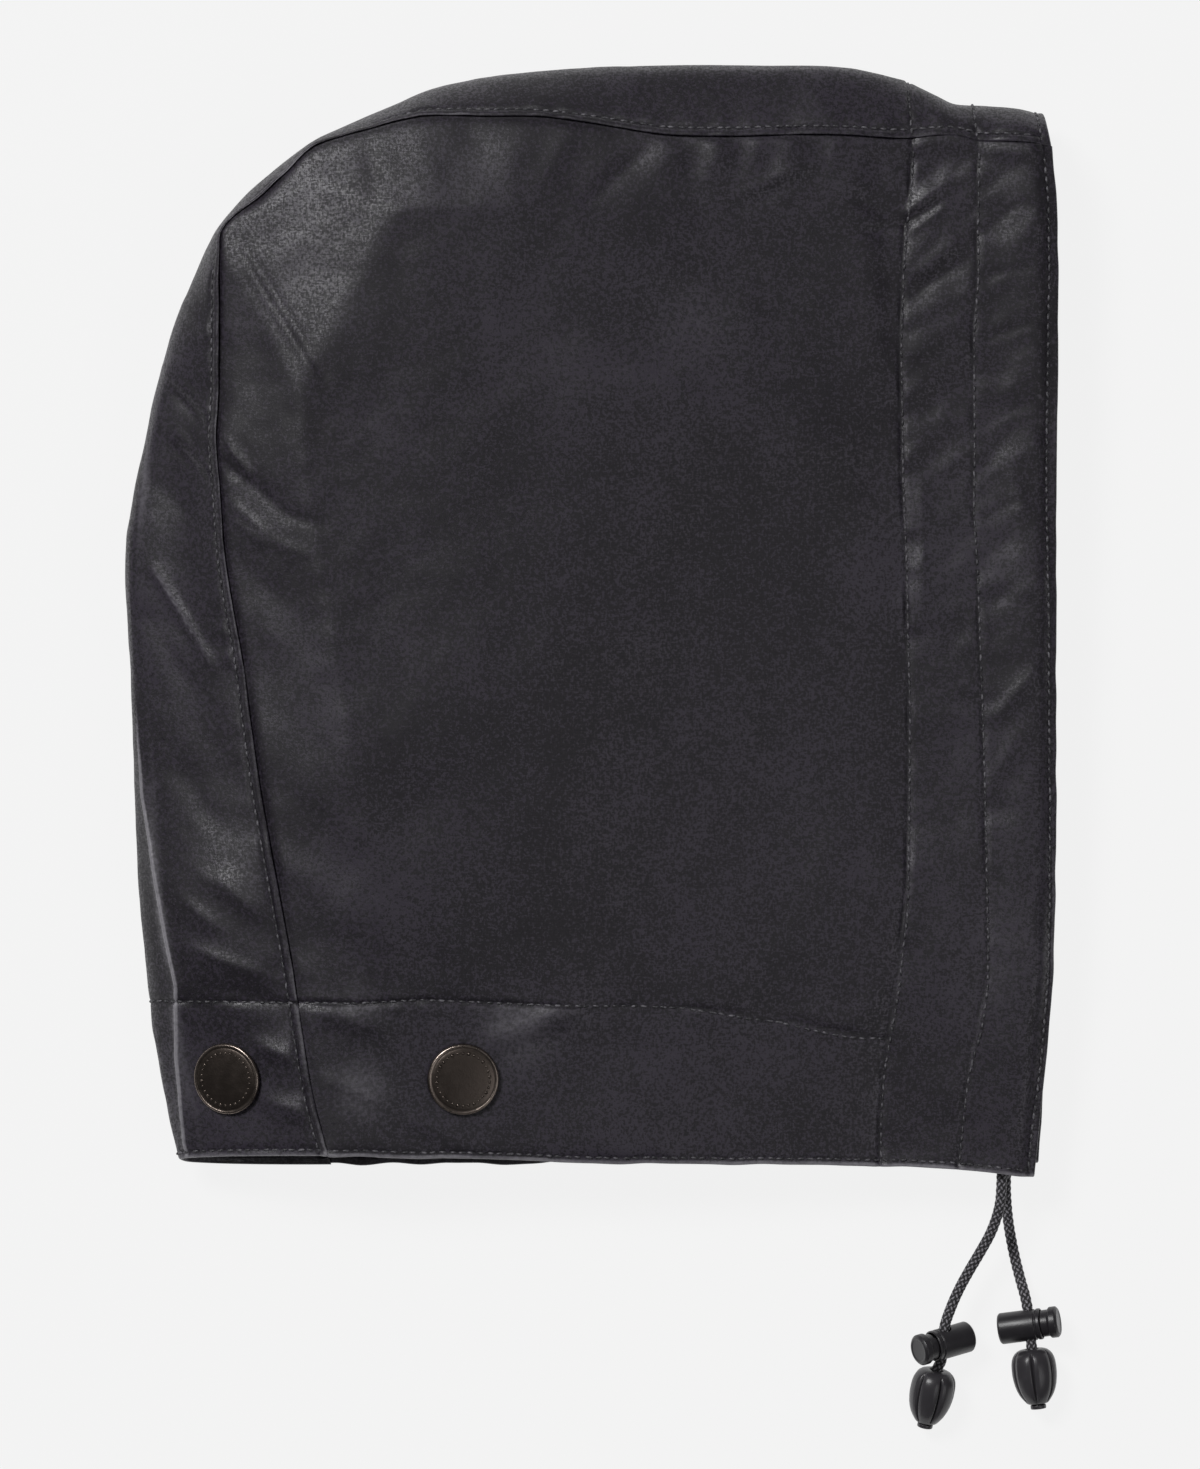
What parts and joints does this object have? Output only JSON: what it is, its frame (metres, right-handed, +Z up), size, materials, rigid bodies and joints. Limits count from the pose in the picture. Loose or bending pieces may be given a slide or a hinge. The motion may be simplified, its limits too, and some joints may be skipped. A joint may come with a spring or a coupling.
{
  "type": "detachable hood",
  "caption": "Black waxed-cotton rain hood lying on its side, with a drawcord channel round the face, cord locks, bell ends and press studs along the neck hem.",
  "frame": {"origin": "on the ground under the middle of the hood, without its cord ends", "axes": "+Y from the neck hem to the crown, +X from the back to the face opening, +Z up from the far side panel to the near one"},
  "size_m": [0.2622, 0.3824, 0.0473],
  "materials": {
    "waxed_cotton": "black waxed cotton, fine weave, low satin sheen at the folds",
    "cord_braid": "fine braided black cord, matt",
    "lock_plastic": "satin black moulded plastic",
    "bell_plastic": "smooth glossy black moulded plastic",
    "stud_bronze": "dark bronze plating with a thin bright rim"
  },
  "bodies": {
    "hood": {"near_panel": "waxed_cotton", "far_panel": "waxed_cotton", "gusset": "waxed_cotton", "drawcord": "cord_braid", "cord_near_end": "cord_braid", "cord_far_end": "cord_braid", "lock_near_barrel": "lock_plastic", "lock_far_barrel": "lock_plastic", "bell_near": "bell_plastic", "bell_near_foot": "bell_plastic", "bell_far": "bell_plastic", "bell_far_foot": "bell_plastic", "stud_near_front_cap": "stud_bronze", "stud_near_front_socket": "stud_bronze", "stud_near_back_cap": "stud_bronze", "stud_near_back_socket": "stud_bronze", "stud_far_front_cap": "stud_bronze", "stud_far_front_socket": "stud_bronze", "stud_far_back_cap": "stud_bronze", "stud_far_back_socket": "stud_bronze"},
    "near_plunger": {"lock_near_plunger": "lock_plastic"},
    "far_plunger": {"lock_far_plunger": "lock_plastic"}
  },
  "joints": [
    {"name": "near_lock_press", "type": "slide", "parent": "hood", "child": "near_plunger", "axis": [0.8403, 0.2095, -0.5], "range_m": [0, 0.002], "stiffness_N_per_m": 2500},
    {"name": "far_lock_press", "type": "slide", "parent": "hood", "child": "far_plunger", "axis": [-0.9686, -0.1361, -0.2079], "range_m": [0, 0.002], "stiffness_N_per_m": 2500}
  ]
}
